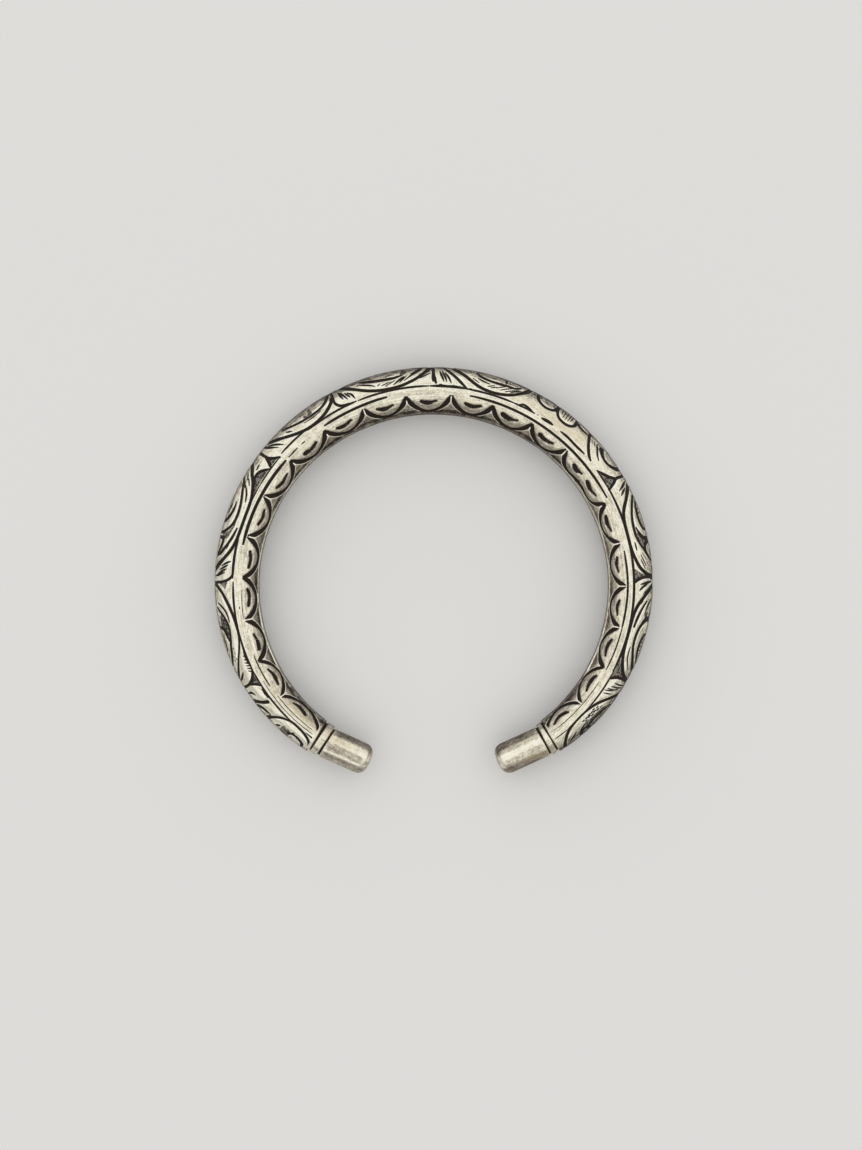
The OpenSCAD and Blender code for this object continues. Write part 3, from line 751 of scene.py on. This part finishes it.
# Streaks beside a cut follow it, because their noise changes slowly along it
SLOWLY = 0.12
FARTHEST = 1.6
along = side * (np.radians(ring_t) * ring_out + ring_along)[row] / MM
across_mm = np.hstack([across / MM, np.zeros(tip_points)])
for layer in range(LAYERS):
    note("cut%d" % layer, off[layer], half[layer], near[layer] - margin)
note("petal", petal_side, petal_half, np.where(on_bar, rim_mm, 1))
note("ground", np.clip(ground, -1, 1), on_flank, ~on_bar)
note("tip", tip_line, tip_open, corner_age)
# How strong the painted highlight on the lips and the rim is: weaker where the rim is dull
note("lip", 1 - 0.8 * dull_rim)
note("age", age, np.clip(patches(FILM), 0, 1), cut_edge_light_and_shade)
note("on_bar_mm", along, np.where(on_bar, phi * phi_mm, across_mm),
     np.where(on_bar, lower_side * UNDERNEATH, co[:, 2] / MM))
note("beside_cuts", np.clip(gap, 0, FARTHEST), along * SLOWLY, phi * phi_mm * SLOWLY)


class Value:
    """A number that varies over the silver. Adding, multiplying and so on adds Math nodes."""

    def __init__(self, tree, socket):
        self.tree, self.socket = tree, socket

    def math(self, operation, *others):
        node = self.tree.nodes.new("ShaderNodeMath")
        node.operation = operation
        for slot, value in zip(node.inputs, (self,) + others):
            if isinstance(value, Value):
                self.tree.links.new(value.socket, slot)
            else:
                slot.default_value = value
        return Value(self.tree, node.outputs[0])

    def __add__(self, other):
        return self.math("ADD", other)

    def __sub__(self, other):
        return self.math("SUBTRACT", other)

    def __rsub__(self, other):
        return self * -1 + other

    def __mul__(self, other):
        return self.math("MULTIPLY", other)

    def __abs__(self):
        return self.math("ABSOLUTE")

    def most(self, other):
        return self.math("MAXIMUM", other)

    def least(self, other):
        return self.math("MINIMUM", other)

    __radd__ = __add__
    __rmul__ = __mul__


class Finish:
    """A material, and short ways to add nodes to it."""

    def __init__(self, name):
        self.material = bpy.data.materials.new(name)
        self.material.use_nodes = True
        self.tree = self.material.node_tree
        self.shader = self.tree.nodes["Principled BSDF"]

    def node(self, kind, settings=(), **sockets):
        node = self.tree.nodes.new(kind)
        for name, value in dict(settings).items():
            if name == "stops":
                first, last = node.color_ramp.elements
                first.position, first.color = value[0]
                last.position, last.color = value[-1]
                for at, shade in value[1:-1]:
                    node.color_ramp.elements.new(at).color = shade
            else:
                setattr(node, name, value)
        self.fill(node, sockets)
        return node

    def fill(self, node, sockets):
        for name, value in sockets.items():
            socket = node.inputs[int(name[1:])] if name[0] == "_" else node.inputs[name.replace("_", " ")]
            if isinstance(value, Value):
                value = value.socket
            if isinstance(value, bpy.types.NodeSocket):
                self.tree.links.new(value, socket)
            else:
                socket.default_value = value

    def value(self, node, output=0):
        return Value(self.tree, node.outputs[output])

    def attribute(self, name, output="Fac"):
        return self.value(self.node("ShaderNodeAttribute", {"attribute_name": name}), output)

    def parts(self, name):
        node = self.node("ShaderNodeSeparateXYZ", Vector=self.attribute(name, "Vector"))
        return [self.value(node, index) for index in range(3)]

    def ramp(self, value, low, high):
        """0 at low, 1 at high, smooth between; high may be the smaller."""
        node = self.node("ShaderNodeMapRange", {"interpolation_type": "SMOOTHSTEP"}, Value=value,
                         From_Min=min(low, high), From_Max=max(low, high))
        return self.value(node) if low <= high else 1 - self.value(node)

    def noise(self, vector, stretch, detail, roughness):
        """Cloudy noise, -0.5 to 0.5, with so many patches to a millimetre each way."""
        node = self.node("ShaderNodeVectorMath", {"operation": "MULTIPLY"}, _0=vector, _1=stretch)
        return self.value(self.node("ShaderNodeTexNoise", Vector=node.outputs[0], Scale=1.0,
                                    Detail=float(detail), Roughness=roughness)) - 0.5

    def mix(self, amount, first, second):
        node = self.node("ShaderNodeMix", {"data_type": "RGBA"}, _0=amount, _6=first, _7=second)
        return node.outputs[2]


silver = Finish("silver")
surface = silver.attribute("on_bar_mm", "Vector")
petal_off, cut_half, over_rim = silver.parts("petal")
# Tarnish with painted shade and highlights, the brown film, and the painted light and shade beside the cuts
age_and_light_here, film_here, cut_edge_light_and_shade_here = silver.parts("age")
ground_in, flank, plain = silver.parts("ground")
tip_off, tip_here, corner_here = silver.parts("tip")
ramp, noise, mix = silver.ramp, silver.noise, silver.mix

# The silver's colours from bright to dark with tarnish and painted shade
SHADES = [(0, (0.93, 0.89, 0.745, 1)), (0.14, (0.77, 0.72, 0.56, 1)), (0.4, (0.43, 0.385, 0.315, 1)),
          (0.7, (0.175, 0.142, 0.12, 1)), (1, (0.05, 0.041, 0.036, 1))]

# Cuts, with edges that crumble a little
crumble = noise(surface, (4, 4, 4), 3, 0.6)
layers = [silver.parts("cut%d" % layer) for layer in range(LAYERS)]
edges = [(abs(off_line) - half_width).most(near_edge) for off_line, half_width, near_edge in layers]
cut_edge = edges[0].least(edges[1]).least(edges[2]).least(edges[3]) + crumble * 0.1
cut_edge = cut_edge.most((0.12 - abs(tip_off)) * tip_here + (tip_here - 1) * 2)
cut_fill = ramp(cut_edge, 0.045, -0.035)
cut_halo = ramp(cut_edge, 0.3, 0)

# The sunk corners below the petals, dark with tarnish and darkest along the rim with painted shadow, and
# painted highlights on the edge round them, along the rim and on the ridge below each tip
past_cut = -1 * petal_off - cut_half
sunk = ramp(past_cut, 0.16, 0.34) * ramp(over_rim, 0, 0.09)
sunk_tone_and_rim_shadow = ramp(over_rim, 0.9, 0.3) * 0.45 + corner_here
lip = ramp(past_cut, -0.04, 0.03) * ramp(past_cut, 0.34, 0.16) * ramp(over_rim, -0.1, 0.1)
rim_highlight = ramp(over_rim, -0.26, -0.14) * ramp(over_rim, 0.08, 0) * 0.8
tip_edge_highlight = ramp(abs(tip_off), 0.16, 0.08) * tip_here
lip = (lip.most(rim_highlight) * silver.attribute("lip")).most(tip_edge_highlight)

# Punched grounds: small dark pits with brighter silver between them
pits = silver.node("ShaderNodeTexVoronoi", Vector=surface, Scale=2.7)
pit = ramp(silver.value(pits), 0.6, 0.35)
ground_mask = ramp(ground_in + crumble * 0.1, -0.05, 0.08)
ground_dark = ground_mask * (pit * 0.24 + 0.75)

# Tarnish that comes and goes, streaks left by polishing along the bar and beside the cuts,
# and a fine grain
clouds = noise(surface, (0.35, 0.6, 0.35), 4, 0.6)
blotches = noise(surface, (1.2, 1.8, 1.6), 4, 0.65)
streaks = noise(surface, (0.12, 3.6, 2), 3, 0.65)
rubbed = noise(silver.attribute("beside_cuts", "Vector"), (5, 5, 5), 3, 0.6)
grain = noise(surface, (3.5, 3.5, 3.5), 3, 0.75)
hatching = noise(surface, (0.6, 2.8, 2), 3, 0.7)
rim_wear = ramp(over_rim, 0.1, -0.2)
mottle = (clouds * 0.4 + blotches * (rim_wear + 0.75) + streaks * (rim_wear * 0.6 + 0.9)
          + rubbed * (flank * 1.1 + 0.6) + grain * 0.9 + hatching * flank * 2.2)
# Tarnish together with painted shade and painted highlights: the place tables, the painted shadow along the
# corners' rim, the painted light and shade beside the cuts, and the painted highlights on lips, rim and tip
# ridges
tarnish_and_light = (age_and_light_here + sunk * (sunk_tone_and_rim_shadow - age_and_light_here) + mottle * (1 - plain * 0.1)
           + cut_halo * cut_edge_light_and_shade_here - lip * (age_and_light_here + 0.15))
colour = silver.node("ShaderNodeValToRGB", {"stops": SHADES}, _0=tarnish_and_light).outputs[0]
tint = ramp(noise(surface, (0.8, 1.1, 0.8), 3, 0.6), 0, 0.18)
colour = mix(tint * 0.3, colour, (0.6, 0.57, 0.36, 1))
colour = mix(film_here * 0.5, colour, (0.58, 0.48, 0.29, 1))
colour = mix(ground_dark, colour, (0.035, 0.028, 0.024, 1))
colour = mix(cut_fill, colour, (0.018, 0.013, 0.009, 1))
hollow = cut_fill.most(ground_dark)
height = ((1 - cut_fill) * 0.6 + (1 - ground_mask * pit) * 0.3 + streaks * 0.06 + blotches * 0.12
          + grain * 0.06)
bump = silver.node("ShaderNodeBump", Height=height, Distance=0.16 * MM, Strength=0.8)
silver.fill(silver.shader, {
    "Base Color": colour,
    "Metallic": 1 - hollow,
    "Specular IOR Level": 0.15,
    "Roughness": 0.3 + tarnish_and_light * 0.17 + streaks * 0.14 + hollow * 0.25,
    "Normal": bump.outputs[0]})
kada.data.materials.append(silver.material)

# The floor, light and camera: a pale table, a large soft light overhead, a little towards the
# back, and a camera that looks straight down
bpy.ops.object.select_all(action="DESELECT")
bpy.ops.mesh.primitive_plane_add(size=3, location=(0, 0, cad_low[2]))
floor = bpy.context.active_object
floor.name = "floor"
pale = Finish("pale_table")
pale.fill(pale.shader, {"Base Color": (0.78, 0.77, 0.75, 1), "Roughness": 0.8})
floor.data.materials.append(pale.material)
bpy.ops.object.light_add(type="AREA", location=(0, 0.3, 0.8), rotation=(math.radians(-15), 0, 0))
softbox = bpy.context.active_object
softbox.data.energy = 88
softbox.data.size = 7
world = bpy.data.worlds.new("room")
bpy.context.scene.world = world
world.use_nodes = True
world.node_tree.nodes["Background"].inputs["Color"].default_value = (0.4, 0.4, 0.4, 1)
# The middle of the photo
MIDDLE_X = -0.468 * MM
MIDDLE_Y = 2.046 * MM
SENSOR = 24
CAMERA_HEIGHT = 0.4
VIEW_HEIGHT = 0.1994
bpy.ops.object.camera_add(location=(MIDDLE_X, MIDDLE_Y, MID_Z + CAMERA_HEIGHT))
camera = bpy.context.active_object
camera.data.sensor_fit = "VERTICAL"
camera.data.sensor_height = SENSOR
camera.data.lens = SENSOR * CAMERA_HEIGHT / VIEW_HEIGHT
bpy.context.scene.camera = camera
bpy.context.scene.view_settings.view_transform = "Standard"
